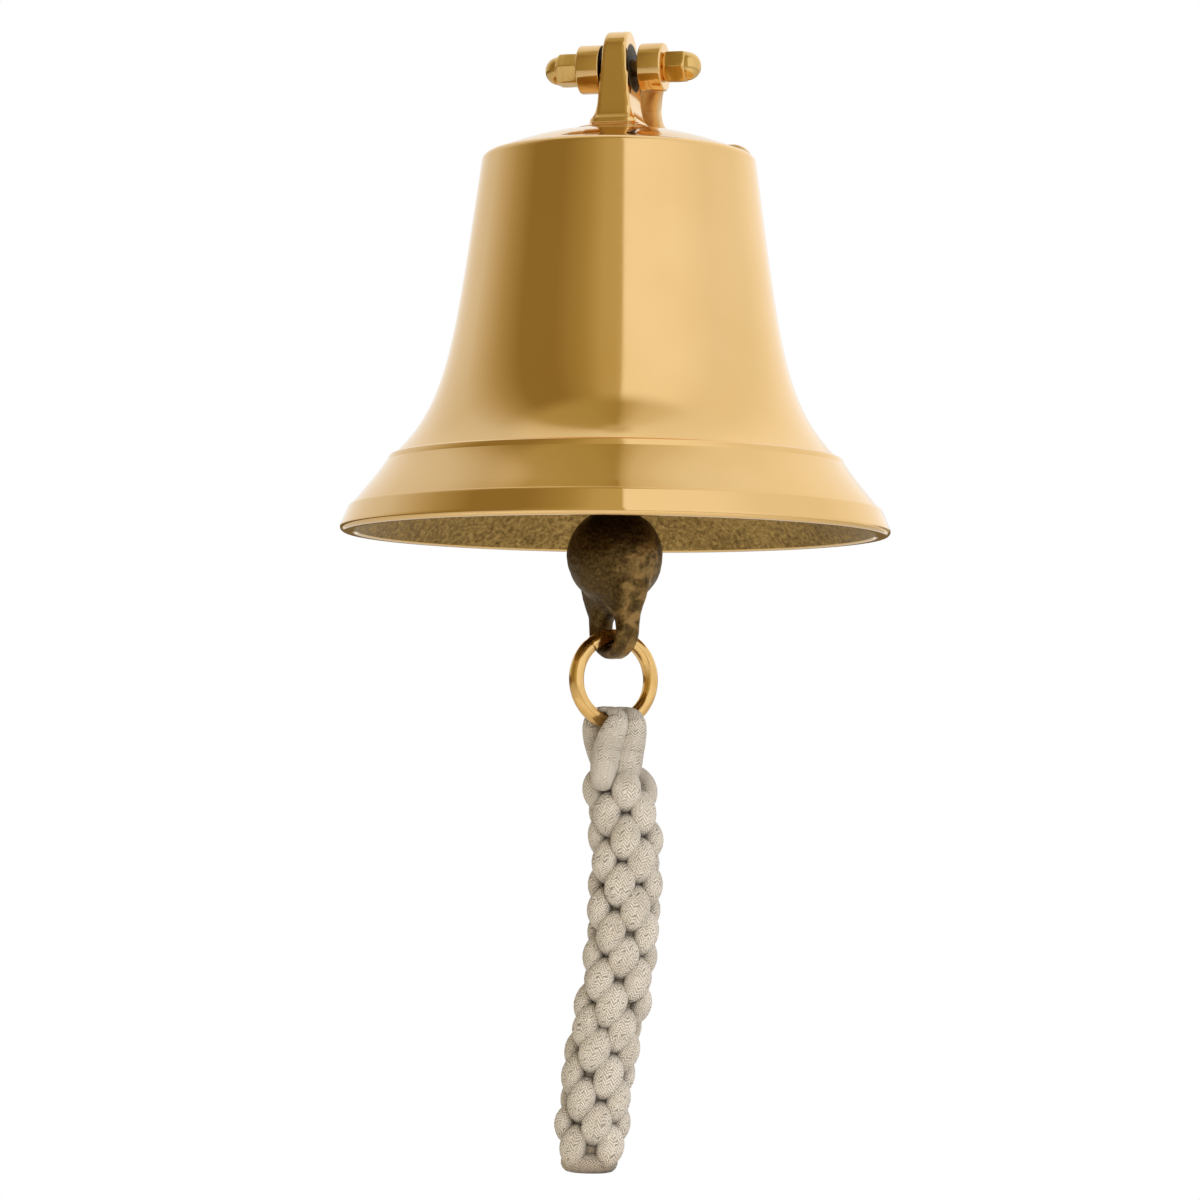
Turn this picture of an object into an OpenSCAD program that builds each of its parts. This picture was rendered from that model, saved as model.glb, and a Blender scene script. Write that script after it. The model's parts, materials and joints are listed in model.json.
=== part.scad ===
// Ship bell hung from a cast wall bracket, with its clapper, pull ring and rope lanyard.
// +Z is up, -Y is the front. The origin is the centre of the wall plate's back face.

/* [Bell] */
// Diameter across the mouth
mouth_d = 203.2; // [200:0.2:206]
// Height from the mouth to the shoulder
bell_h = 141; // [139:0.5:143]
// Rise of the domed crown above the shoulder
crown_rise = 10; // [8:0.5:10.5]
// Thickness of the crown at its centre
crown_t = 15; // [13:0.5:16]

/* [Hanging lug] */
// Height of the bolt's axis above the top of the crown
bolt_above_crown = 22.7; // [22.5:0.1:25]
// Radius of the lug's round top, half its depth from front to back
lug_r = 9.4; // [9:0.1:9.8]
// Height of the lug's top above the bolt's axis
lug_top = 13.7; // [13:0.1:14]
// Width of the lug at its top
lug_top_w = 8; // [7:0.5:8.5]
// Width of the lug where it meets the crown
lug_base_w = 12.6; // [12:0.1:12.8]

/* [Wall bracket] */
// Distance from the wall to the bell's axis
reach = 128; // [128:1:134]
// Width of the wall plate
plate_w = 44; // [44:1:48]
// Height of the wall plate
plate_h = 66; // [64:1:70]
// Thickness of the wall plate
plate_t = 6; // [5:0.5:7]
// Width of the arm
arm_w = 16; // [14:0.5:16]
// Thickness of the arm
arm_t = 7; // [6:0.5:7]
// Outside diameter of the fork's round eyes
eye_d = 18; // [17:0.5:19]
// Distance from the fork's middle to the inner end of each eye
eye_in = 7.3; // [7.2:0.1:7.6]
// Distance from the fork's middle to the outer end of each eye
eye_out = 16.2; // [15.8:0.1:16.6]
// Distance of the fork's middle to the right of the bell's axis
fork_shift = 1.2; // [0.8:0.1:1.2]
// Diameter of the wall screw holes
screw_d = 5.2; // [4.8:0.1:5.6]
// Distance between the screw holes from side to side
screw_dx = 31; // [30.5:0.5:31.5]
// Distance between the screw holes from top to bottom
screw_dz = 46; // [44:1:48]

/* [Bolt and nuts] */
// Diameter of the hanger bolt
stud_d = 6.35; // [6:0.05:6.4]
// Size of the acorn nuts across their flats
nut_af = 11.1; // [10.5:0.1:12]
// Length of a nut's hexagon
nut_hex_h = 8.6; // [8:0.1:9]

/* [Clapper] */
// Diameter of the clapper's ball
ball_d = 35.5; // [34:0.5:36]
// Distance of the ball's centre below the mouth
ball_drop = 7.9; // [6:0.1:9]
// Width of the tail below the ball
tail_w = 23; // [22:0.5:24]
// Thickness of the tail along its hole
tail_t = 11; // [10:0.5:11.5]
// Diameter of the hole in the tail
hole_d = 10.6; // [10.4:0.1:11]

/* [Pull ring] */
// Outside diameter of the ring
ring_d = 37; // [36.5:0.5:38]
// Thickness of the ring's rod
rod_d = 5.5; // [5:0.1:5.6]
// Turn of the ring's plane about the vertical
ring_turn = 45; // [30:5:60]

/* [Lanyard] */
// Diameter of the braided lanyard
rope_d = 28; // [26:0.5:30]
// Diameter of the cord in the loop on the ring
loop_cord_d = 7; // [6:0.5:8]

/* [Hidden] */
$fn = 96;

// Clearances
bore_gap = 0.075;
loose_gap = 0.3;

// Heights below are measured from the mouth; the wall plate's centre is this far above it.
plate_above_mouth = 132;
mouth_r = mouth_d / 2;
crown_top = bell_h + crown_rise;
ceiling = crown_top - crown_t;
bolt_z = crown_top + bolt_above_crown;
stud_r = stud_d / 2;
eye_r = eye_d / 2;

// Outer curve of the bell: control points as shares of the mouth radius and the height
waist = [[0.502, 0.979], [0.5925, 0.511], [0.610, 0.340], [0.807, 0.203]];
skirt = [[0.836, 0.184], [0.870, 0.146], [0.925, 0.101], [0.958, 0.071]];
// Inner curve of the bell, in the same shares
lining = [[0.463, 0.928], [0.561, 0.496], [0.577, 0.312], [0.787, 0.162]];
shoulder_r = 3;
// Upright face of the step between the two curves, in the same shares
step_face = [[0.823, 0.1993], [0.8278, 0.1943], [0.8307, 0.1837]];
ceiling_r = 8;
// Rim of the mouth: its outer rounding, the width of its foot, and the small step above
lip_round = 1.7;
lip_flat = 4.2;
lip_step = [[1, -0.4], [1.7, -1.6]];
// Plinth round the lug's foot: distance out from the lug's side and height above the crown
root_profile = [[0, 7.5], [0.3, 6.6], [1, 5.7], [2, 5], [2.6, 4.4], [2.7, 1.2], [3.6, -0.4]];

// Staple and the eye of the clapper's shank
staple_r = 3.2;
staple_half = 9;
staple_z = ceiling - 14;
staple_root = 5;
shank_eye_r = 7.5;
shank_eye_rod = 3;
shank_eye_z = staple_z - (shank_eye_r - shank_eye_rod - staple_r - loose_gap);
shank_r = 5.2;
shank_top_r = 3.6;

// Tail of the clapper and the ring in its hole
ball_r = ball_d / 2;
hole_r = hole_d / 2;
tail_tip_z = -46;
tail_straight_z = -35;
hole_z = -35.7;
countersink = 1.5;
countersink_depth = 3.5;
ring_gap = 0.6;
rod_r = rod_d / 2;
ring_r = ring_d / 2 - rod_r;
ring_top_z = hole_z - hole_r + rod_r + ring_gap;
ring_z = ring_top_z - ring_r;
ring_foot_z = ring_z - ring_r;

// Route of the lanyard: sideways offset and height of its centre, and its share of the full width
loop_r = rod_r + loop_cord_d / 2 + loose_gap;
lanyard_route = [[0.5, -79], [2, -90], [5.5, -115], [5, -140], [2.5, -165], [-3, -190],
                 [-6.5, -215], [-6.5, -235]];
lanyard_width = [0.64, 0.86, 1, 1, 1, 1, 1, 0.96];
rope_sides = 12;
rope_rings = 22;

// Arm of the bracket: side view from the bolt, as distance behind it and height above it
arm_drop = 19;
neck = [[12, 0], [30, 0], [24, -arm_drop], [44, -arm_drop]];
fork = [[eye_out, 2], [eye_out, 15], [arm_w / 2, 12], [arm_w / 2, 26]];
prong_t = 11;
slot_end = 8;
// Root of the arm: distances behind the bolt, with the extra half width and extra half thickness at each
root_y = [52, 92, 104, 112, 118, reach];
root_extra_w = [0, 0, 0, 0, 0.4, 0.9];
root_extra_t = [0, 0, 0.4, 1.4, 3.2, 7];

function bez(p, t) = pow(1 - t, 3) * p[0] + 3 * t * pow(1 - t, 2) * p[1]
    + 3 * t * t * (1 - t) * p[2] + pow(t, 3) * p[3];
function curve(p, n) = [for (i = [0:n]) bez(p, i / n)];
function arc(x, y, r, a, b, n) = [for (i = [0:n])
    let (t = a + (b - a) * i / n) [x + r * cos(t), y + r * sin(t)]];
function shares(p) = [for (q = p) [q[0] * mouth_r, q[1] * bell_h]];
function flip(p) = [for (i = [len(p) - 1:-1:0]) p[i]];

// Moves a shape built about the bell's axis, with the mouth at z = 0, to its place on the wall.
module on_axis() {
    translate([0, -reach, -plate_above_mouth]) children();
}

module along_x(x = 0, z = 0) {
    translate([x, 0, z]) rotate([0, 90, 0]) children();
}

// ---- wall_bracket ----

// One side of a ribbon about a line of points, at a half thickness given for each.
function side(line, half, s) = [for (i = [0:len(line) - 1])
    let (a = line[max(i - 1, 0)], b = line[min(i + 1, len(line) - 1)], d = (b - a) / norm(b - a))
    line[i] + s * half[i] * [-d[1], d[0]]];

module arm_side_view() {
    neck_line = curve(neck, 16);
    root_line = [for (y = root_y) [y, -arm_drop]];
    line = concat([[0, 0]], neck_line, root_line);
    neck_half = [for (i = [0:16]) (prong_t + (arm_t - prong_t) * sin(90 * i / 16)) / 2];
    half = concat([prong_t / 2], neck_half, [for (f = root_extra_t) arm_t / 2 + f]);
    polygon(concat(side(line, half, 1), flip(side(line, half, -1))));
}

module arm_plan() {
    fork_side = curve(fork, 14);
    root = [for (i = [1:len(root_y) - 1]) [arm_w / 2 + root_extra_w[i], root_y[i]]];
    right = concat([[eye_out, 0]], fork_side, root);
    left = [for (p = flip(right)) [-p[0], p[1]]];
    polygon(concat(right, left));
}

module plate_outline() {
    corner = 8;
    square([plate_w - 2 * corner, plate_h], center = true);
    square([plate_w, plate_h - 2 * corner], center = true);
    for (x = [-1, 1], z = [-1, 1])
        translate([x * (plate_w / 2 - corner), z * (plate_h / 2 - corner)]) circle(corner);
}

module screw_hole() {
    head_r = 4.9;
    head_depth = 2.4;
    past = 0.1;
    rotate([90, 0, 0]) {
        translate([0, 0, -1]) cylinder(h = plate_t + 2, d = screw_d);
        translate([0, 0, plate_t - head_depth])
            cylinder(h = head_depth + past, r1 = screw_d / 2, r2 = head_r);
    }
}

module wall_bracket() {
    bolt_place = [fork_shift, -reach, bolt_z - plate_above_mouth];
    slot = [2 * eye_in, slot_end + 2 * eye_r, 3 * eye_r];
    color("goldenrod") {
        difference() {
            union() {
                translate(bolt_place) {
                    intersection() {
                        rotate([90, 0, 90]) linear_extrude(4 * eye_out, center = true) arm_side_view();
                        linear_extrude(4 * arm_drop, center = true) arm_plan();
                    }
                    for (s = [-1, 1])
                        along_x(s * (eye_in + eye_out) / 2)
                            cylinder(h = eye_out - eye_in, r = eye_r, center = true);
                }
                rotate([90, 0, 0]) linear_extrude(plate_t) plate_outline();
            }
            translate(bolt_place) {
                along_x() cylinder(h = 3 * eye_out, r = stud_r + bore_gap, center = true);
                translate([0, slot_end - slot[1] / 2, 0]) cube(slot, center = true);
                translate([0, slot_end, 0]) cylinder(h = slot[2], r = eye_in, center = true);
            }
            translate([0, plate_t, 0]) cube([2 * plate_w, 2 * plate_t, 4 * plate_h], center = true);
            for (x = [-1, 1], z = [-1, 1])
                translate([x * screw_dx / 2, 0, z * screw_dz / 2]) screw_hole();
        }
    }
}

// ---- hanger bolt and nuts ----

stud_past_eye = 10.5;
nut_bore = 11;
nut_turn = 7;
thread_gap = 0.03;
dome_r = 5.25;
dome_sink = 0.25;

module hanger_bolt() {
    color("peru") on_axis() along_x(fork_shift, bolt_z)
        cylinder(h = 2 * (eye_out + stud_past_eye), r = stud_r, center = true);
}

module acorn_nut() {
    chamfer = 0.8;
    corner_r = nut_af / 2 / cos(30);
    over_r = corner_r + 0.1;
    difference() {
        union() {
            intersection() {
                rotate([0, 0, nut_turn]) cylinder(h = nut_hex_h, r = corner_r, $fn = 6);
                union() {
                    cylinder(h = chamfer, r1 = corner_r - chamfer, r2 = over_r);
                    translate([0, 0, chamfer])
                        cylinder(h = nut_hex_h - 2 * chamfer, r = over_r);
                    translate([0, 0, nut_hex_h - chamfer])
                        cylinder(h = chamfer, r1 = over_r, r2 = corner_r - chamfer);
                }
            }
            translate([0, 0, nut_hex_h - dome_sink]) sphere(dome_r);
        }
        translate([0, 0, -1]) cylinder(h = nut_bore + 1, r = stud_r + thread_gap);
        translate([0, 0, -2 * dome_r]) cylinder(h = 2 * dome_r, r = 2 * dome_r);
    }
}

module left_acorn_nut() {
    color("gold") on_axis() along_x(fork_shift - eye_out, bolt_z) rotate([180, 0, 0]) acorn_nut();
}

module right_acorn_nut() {
    color("gold") on_axis() along_x(fork_shift + eye_out, bolt_z) acorn_nut();
}

// ---- bell ----

function crown_curve() = let (flat_r = waist[0][0] * mouth_r - shoulder_r,
    dome = (pow(flat_r, 2) + pow(crown_rise, 2)) / (2 * crown_rise))
    [for (i = [0:8]) let (r = flat_r * i / 8) [r, crown_top - dome + sqrt(pow(dome, 2) - pow(r, 2))]];

module bell_outline() {
    flat_r = waist[0][0] * mouth_r - shoulder_r;
    skirt_foot = shares(skirt)[3];
    ceiling_end = shares(lining)[0][0] - ceiling_r;
    polygon(concat(
        crown_curve(),
        arc(flat_r, bell_h - shoulder_r, shoulder_r, 75, 10, 5),
        curve(shares(waist), 22),
        shares(step_face),
        curve(shares(skirt), 8),
        [for (q = lip_step) skirt_foot + q],
        arc(mouth_r - lip_round, lip_round, lip_round, 15, -90, 5),
        arc(mouth_r - lip_flat, lip_round, lip_round, -90, -150, 3),
        flip(curve(shares(lining), 22)),
        arc(ceiling_end, ceiling - ceiling_r, ceiling_r, 8, 90, 6),
        [[0, ceiling]]));
}

// Half of an upright outline: from the lug's side out to its plinth and down into the crown.
function rooted(half) = concat([for (q = root_profile) [half + q[0], crown_top + q[1]]],
    [[half + root_profile[len(root_profile) - 1][0], ceiling + 2]]);
function mirrored(half_outline) = concat(half_outline, [for (p = flip(half_outline)) [-p[0], p[1]]]);

module lug_front_view() {
    polygon(mirrored(concat([[lug_top_w / 2, bolt_z + lug_top]], rooted(lug_base_w / 2))));
}

module lug_side_view() {
    round_z = bolt_z + lug_top - lug_r;
    translate([0, round_z]) circle(lug_r);
    polygon(mirrored(concat([[lug_r, round_z]], rooted(lug_r))));
}

module bell() {
    color("darkgoldenrod") on_axis() difference() {
        union() {
            rotate_extrude() bell_outline();
            intersection() {
                rotate([90, 0, 0]) linear_extrude(4 * lug_r, center = true) lug_front_view();
                rotate([90, 0, 90]) linear_extrude(4 * lug_r, center = true) lug_side_view();
            }
        }
        along_x(0, bolt_z) cylinder(h = 4 * lug_r, r = stud_r + bore_gap, center = true);
    }
}

module clapper_staple() {
    color("saddlebrown") on_axis() {
        along_x(0, staple_z) cylinder(h = 2 * staple_half, r = staple_r, center = true);
        for (s = [-1, 1]) translate([s * staple_half, 0, staple_z]) {
            sphere(staple_r);
            cylinder(h = ceiling - staple_z + staple_root, r = staple_r);
        }
    }
}

// ---- clapper ----

module clapper_shank() {
    shank_top = shank_eye_z - shank_eye_r;
    along_x(0, shank_eye_z) rotate_extrude() translate([shank_eye_r, 0]) circle(shank_eye_rod);
    translate([0, 0, -ball_drop])
        cylinder(h = shank_top + ball_drop, r1 = shank_r, r2 = shank_top_r);
}

module tail_outline() {
    half = tail_w / 2;
    tip_half = 1.5;
    ogive_z = tail_straight_z - 5;
    ogive = [[half, tail_straight_z], [half, ogive_z], [5, tail_tip_z + 1], [tip_half, tail_tip_z]];
    polygon(concat([[0, -ball_drop], [half, -ball_drop]], curve(ogive, 8), [[0, tail_tip_z]]));
}

module clapper() {
    color("sienna") on_axis() {
        difference() {
            union() {
                translate([0, 0, -ball_drop]) sphere(ball_r);
                rotate([0, 0, ring_turn]) intersection() {
                    rotate_extrude() tail_outline();
                    translate([-tail_t / 2, -tail_w, tail_tip_z - 1])
                        cube([tail_t, 2 * tail_w, -tail_tip_z]);
                }
                clapper_shank();
            }
            rotate([0, 0, ring_turn]) {
                along_x(0, hole_z) cylinder(h = 2 * tail_w, r = hole_r, center = true);
                for (s = [-1, 1]) translate([s * tail_t / 2, 0, hole_z]) rotate([0, -90 * s, 0])
                    cylinder(h = countersink_depth, r1 = hole_r + countersink, r2 = hole_r);
            }
        }
    }
}

// ---- pull_ring and lanyard ----

module pull_ring() {
    color("orange") on_axis() rotate([90, 0, ring_turn]) translate([0, ring_z, 0])
        rotate_extrude() translate([ring_r, 0]) circle(rod_r);
}

module lanyard_eye() {
    color("linen") on_axis() rotate([0, 0, ring_turn]) along_x(0, ring_foot_z)
        rotate_extrude() translate([loop_r, 0]) circle(loop_cord_d / 2);
}

// Value of a list at a share of its length, on straight lines between its entries.
function at(list, t) = let (s = t * (len(list) - 1), i = min(floor(s), len(list) - 2))
    list[i] + (list[i + 1] - list[i]) * (s - i);

module lanyard_braid() {
    spots = [for (i = [0:rope_rings - 1]) at(lanyard_route, i / (rope_rings - 1))];
    radii = [for (i = [0:rope_rings - 1]) rope_d / 2 * at(lanyard_width, i / (rope_rings - 1))];
    skin = [for (i = [0:rope_rings - 1], k = [0:rope_sides - 1]) let (a = 360 * k / rope_sides)
        [spots[i][0] + radii[i] * cos(a), radii[i] * sin(a), spots[i][1]]];
    walls = [for (i = [0:rope_rings - 2], k = [0:rope_sides - 1])
        let (a = i * rope_sides + k, b = i * rope_sides + (k + 1) % rope_sides)
        [a, b, b + rope_sides, a + rope_sides]];
    top = [for (k = [rope_sides - 1:-1:0]) k];
    foot = [for (k = [0:rope_sides - 1]) (rope_rings - 1) * rope_sides + k];
    color("linen") on_axis() polyhedron(skin, concat([top], walls, [foot]));
}

wall_bracket();
hanger_bolt();
left_acorn_nut();
right_acorn_nut();
bell();
clapper_staple();
clapper();
pull_ring();
lanyard_eye();
lanyard_braid();
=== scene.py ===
"""Ship bell on its wall bracket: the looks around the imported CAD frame. Metres, row frame."""
import json
import math

import bmesh
import bpy
import numpy as np
from mathutils import Matrix, Vector, noise


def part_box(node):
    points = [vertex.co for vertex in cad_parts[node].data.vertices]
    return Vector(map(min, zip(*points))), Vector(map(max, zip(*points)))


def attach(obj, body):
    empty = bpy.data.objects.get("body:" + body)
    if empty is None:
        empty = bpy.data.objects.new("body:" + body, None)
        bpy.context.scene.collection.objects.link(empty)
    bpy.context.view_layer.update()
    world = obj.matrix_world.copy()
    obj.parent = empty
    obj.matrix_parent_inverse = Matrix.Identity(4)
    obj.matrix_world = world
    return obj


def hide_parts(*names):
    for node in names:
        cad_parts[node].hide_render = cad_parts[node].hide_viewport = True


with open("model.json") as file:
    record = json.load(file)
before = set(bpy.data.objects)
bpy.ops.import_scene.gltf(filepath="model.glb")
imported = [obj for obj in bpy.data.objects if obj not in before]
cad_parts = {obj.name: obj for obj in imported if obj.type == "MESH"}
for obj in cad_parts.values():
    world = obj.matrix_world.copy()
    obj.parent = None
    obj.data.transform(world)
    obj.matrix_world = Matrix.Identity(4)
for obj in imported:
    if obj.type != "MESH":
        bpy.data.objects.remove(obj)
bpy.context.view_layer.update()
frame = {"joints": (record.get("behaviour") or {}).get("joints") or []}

MM = 0.001
scene = bpy.context.scene
scene.view_settings.view_transform = "Standard"

# ---------------------------------------------------------------- places from the frame
bell_low, bell_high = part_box("bell")
AXIS_Y = (bell_low.y + bell_high.y) / 2
MOUTH_Z = bell_low.z
PIVOT = {j["name"]: Vector(j["pos_m"]) for j in frame["joints"]}


def height(joint):
    """Height of a joint above the bell's mouth, in mm."""
    return (PIVOT[joint].z - MOUTH_Z) / MM


MOUTH_R = (bell_high.x - bell_low.x) / 2 / MM
BELL_H = 141.0
CROWN_RISE = 10.0
CROWN_TOP = BELL_H + CROWN_RISE
CEILING = 136.0
CEILING_R = 8.0
BOLT_Z = height("bell_swing")
STAPLE_Z = height("clapper_swing")
RING_TOP = height("ring_swing")
RING_FOOT = height("lanyard_swing")
RING_R = (RING_TOP - RING_FOOT) / 2
RING_Z = (RING_TOP + RING_FOOT) / 2
RING_TURN = math.radians(45)
REACH = -AXIS_Y / MM
ROD_R = 2.75
EYE_IN, EYE_OUT, EYE_R = 7.3, 16.2, 9.0
bolt_low, bolt_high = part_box("hanger_bolt")
FORK_X = (bolt_low.x + bolt_high.x) / 2 / MM
ARM_DROP = 19.0
PLATE_W, PLATE_H, PLATE_T = 44.0, 66.0, 6.0
PLATE_Z = -MOUTH_Z / MM
SCREW_DX, SCREW_DZ = 31.0, 46.0
SCREW_R, SCREW_HEAD_R = 2.6, 5.2


# ---------------------------------------------------------------- mesh helpers, in mm about the bell's axis
def to_row(points):
    """Points in mm, from the bell's axis at its mouth, as metres in the row frame."""
    return np.asarray(points, float) * MM + np.array([0.0, AXIS_Y, MOUTH_Z])


def make(name, verts, faces, smooth=True):
    """An object in the scene from points in mm about the bell's axis."""
    mesh = bpy.data.meshes.new(name)
    mesh.from_pydata([tuple(p) for p in to_row(verts)], [], [tuple(f) for f in faces])
    mesh.validate()
    obj = bpy.data.objects.new(name, mesh)
    scene.collection.objects.link(obj)
    if smooth:
        mesh.shade_smooth()
    return obj


def join(name, objs):
    """One object from several, under a new name."""
    bpy.ops.object.select_all(action="DESELECT")
    for o in objs:
        o.select_set(True)
    bpy.context.view_layer.objects.active = objs[0]
    if len(objs) > 1:
        bpy.ops.object.join()
    objs[0].name = name
    return objs[0]


def apply_all(obj):
    """The object's mesh with its modifiers applied."""
    depsgraph = bpy.context.evaluated_depsgraph_get()
    mesh = bpy.data.meshes.new_from_object(obj.evaluated_get(depsgraph))
    obj.modifiers.clear()
    obj.data = mesh
    return obj


def cut(obj, cutter):
    """Takes the cutter's shape out of the object."""
    mod = obj.modifiers.new("cut", "BOOLEAN")
    mod.object = cutter
    mod.operation = "DIFFERENCE"
    mod.solver = "EXACT"
    apply_all(obj)
    bpy.data.objects.remove(cutter)
    return obj


def roughen(obj, layers, first=0):
    """Moves the vertices from first onwards along their normals by sand-cast noise."""
    mesh = obj.data
    count = len(mesh.vertices)
    places, normals = np.empty(3 * count), np.empty(3 * count)
    mesh.vertices.foreach_get("co", places)
    mesh.vertices.foreach_get("normal", normals)
    places, normals = places.reshape(-1, 3), normals.reshape(-1, 3)
    for i in range(first, count):
        p = Vector(places[i])
        amount = sum(noise.noise(p * scale) * size for scale, size in layers)
        fade = min(1.0, abs(places[i][2] - MOUTH_Z) / 0.004)
        places[i] += normals[i] * amount * fade
    mesh.vertices.foreach_set("co", places.ravel())
    mesh.update()


def weld(obj, voxel, times):
    """One casting from parts that overlap, remeshed in voxels of that many mm and then smoothed."""
    mod = obj.modifiers.new("weld", "REMESH")
    mod.mode = "VOXEL"
    mod.voxel_size = voxel * MM
    apply_all(obj)
    bm = bmesh.new()
    bm.from_mesh(obj.data)
    for _ in range(times):
        bmesh.ops.smooth_vert(bm, verts=bm.verts, factor=0.5,
                              use_axis_x=True, use_axis_y=True, use_axis_z=True)
    bm.to_mesh(obj.data)
    bm.free()
    return obj


def recalc(obj):
    """Turns the faces' normals outwards."""
    bm = bmesh.new()
    bm.from_mesh(obj.data)
    bmesh.ops.recalc_face_normals(bm, faces=bm.faces)
    bm.to_mesh(obj.data)
    bm.free()
    return obj


def smooth_by_angle(obj, degrees):
    obj.data.set_sharp_from_angle(angle=math.radians(degrees))


def circle(n):
    """Angles evenly round a circle, in radians."""
    return 2 * np.pi * np.arange(n) / n


def grid_faces(rows, cols, wrap_rows=False):
    """Faces between rows of vertices; each row is a closed ring."""
    faces = []
    for i in range(rows if wrap_rows else rows - 1):
        for j in range(cols):
            a, b = i * cols + j, i * cols + (j + 1) % cols
            c, d = ((i + 1) % rows) * cols + (j + 1) % cols, ((i + 1) % rows) * cols + j
            faces.append((a, b, c, d))
    return faces


def stack(rows):
    """A closed solid from rows of points, each row a ring of the same count, with flat ends."""
    count, sides = len(rows), len(rows[0])
    faces = grid_faces(count, sides)
    faces += [tuple(range(sides))[::-1], tuple(range((count - 1) * sides, count * sides))]
    return [point for row in rows for point in row], faces


def lathe(profile, segments):
    """A surface turned about Z from (radius, height) points. A point on the axis is one vertex."""
    verts, faces, rows = [], [], []
    for r, z in profile:
        if r < 1e-6:
            rows.append([len(verts)] * segments)
            verts.append((0, 0, z))
            continue
        rows.append(list(range(len(verts), len(verts) + segments)))
        verts += [(r * math.cos(2 * math.pi * k / segments), r * math.sin(2 * math.pi * k / segments), z)
                  for k in range(segments)]
    for a, b in zip(rows, rows[1:]):
        for k in range(segments):
            quad = [a[k], a[(k + 1) % segments], b[(k + 1) % segments], b[k]]
            face = [v for i, v in enumerate(quad) if v not in quad[:i]]
            if len(face) > 2:
                faces.append(face)
    return verts, faces


def bezier(p, n):
    """Points along a cubic curve from its four control points."""
    p = np.array(p, float)
    t = np.linspace(0, 1, n + 1)[:, None]
    return ((1 - t) ** 3 * p[0] + 3 * t * (1 - t) ** 2 * p[1] + 3 * t * t * (1 - t) * p[2] + t ** 3 * p[3])


def arc(cx, cy, r, a, b, n):
    """Points along a circle from angle a to angle b, in degrees."""
    t = np.radians(np.linspace(a, b, n + 1))
    return np.stack([cx + r * np.cos(t), cy + r * np.sin(t)], 1)


def frames(points, across):
    """Tangents, normals and binormals along a line; the binormals stay as near to across as they can."""
    p = np.asarray(points, float)
    t = np.gradient(p, axis=0)
    t /= np.linalg.norm(t, axis=1)[:, None]
    b = np.broadcast_to(np.asarray(across, float), p.shape)
    b = b - (b * t).sum(1)[:, None] * t
    b /= np.linalg.norm(b, axis=1)[:, None]
    return t, np.cross(b, t), b


def sweep(points, across, half_across, half_thick, sides=20, power=2.0):
    """A closed tube along points. Its section is a superellipse, half_across wide along across."""
    p = np.asarray(points, float)
    n = len(p)
    cap, cap_reach = 3, 0.8
    wa = np.broadcast_to(half_across, n).astype(float)
    wt = np.broadcast_to(half_thick, n).astype(float)
    _, normal, binormal = frames(p, across)
    c, s = np.cos(circle(sides)), np.sin(circle(sides))
    c, s = np.sign(c) * np.abs(c) ** (2 / power), np.sign(s) * np.abs(s) ** (2 / power)
    rings = (p[:, None] + binormal[:, None] * (wa[:, None] * c)[..., None]
             + normal[:, None] * (wt[:, None] * s)[..., None])
    ends = []
    for i, step in ((0, -1), (n - 1, 1)):
        t = p[i] - p[i - step]
        t = t / np.linalg.norm(t)
        reach = min(wa[i], wt[i]) * cap_reach
        rounds = []
        for k in range(1, cap + 1):
            a = math.pi / 2 * k / (cap + 1)
            rounds.append(p[i] + (rings[i] - p[i]) * math.cos(a) + t * reach * math.sin(a))
        ends.append((rounds, p[i] + t * reach))
    rows = list(reversed(ends[0][0])) + list(rings) + ends[1][0]
    verts = [tuple(v) for row in rows for v in row] + [tuple(ends[0][1]), tuple(ends[1][1])]
    faces = grid_faces(len(rows), sides)
    first, last = len(verts) - 2, len(verts) - 1
    top = (len(rows) - 1) * sides
    faces += [(first, (k + 1) % sides, k) for k in range(sides)]
    faces += [(last, top + k, top + (k + 1) % sides) for k in range(sides)]
    mids = np.array([np.mean(r, 0) for r in rows])
    along = np.concatenate([[0], np.cumsum(np.linalg.norm(np.diff(mids, axis=0), axis=1))])
    return verts, faces, along, sides


def tube(name, *shape):
    """An object swept along a line."""
    return make(name, *sweep(*shape)[:2])


def set_cord_uv(obj, along, sides, start=0.0):
    """UVs for a swept cord: u is the distance along it in mm, v goes once round it."""
    uv = obj.data.uv_layers.new(name="cord")
    n = len(along)
    for poly in obj.data.polygons:
        idx = list(poly.vertices)
        cols = [i % sides for i in idx if i < n * sides]
        wraps = cols and max(cols) - min(cols) > sides / 2
        for li, vi in zip(poly.loop_indices, idx):
            if vi >= n * sides:
                uv.data[li].uv = (along[0 if vi == n * sides else -1] + start, 0.5)
                continue
            row, col = divmod(vi, sides)
            col = col + sides if wraps and col < sides / 2 else col
            uv.data[li].uv = (along[row] + start, col / sides)


# ---------------------------------------------------------------- camera, at the photograph's view
CAMERA_AZIMUTH = math.radians(15)
CAMERA_DISTANCE = 1.53
CAMERA_BELOW_MOUTH = 0.107
CAMERA_TILT = math.radians(3.1)
CAMERA_PAN = math.radians(0.2)
CAMERA_ROLL = math.radians(0.6)
CAMERA_LENS, CAMERA_SENSOR = 124.5, 36


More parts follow.
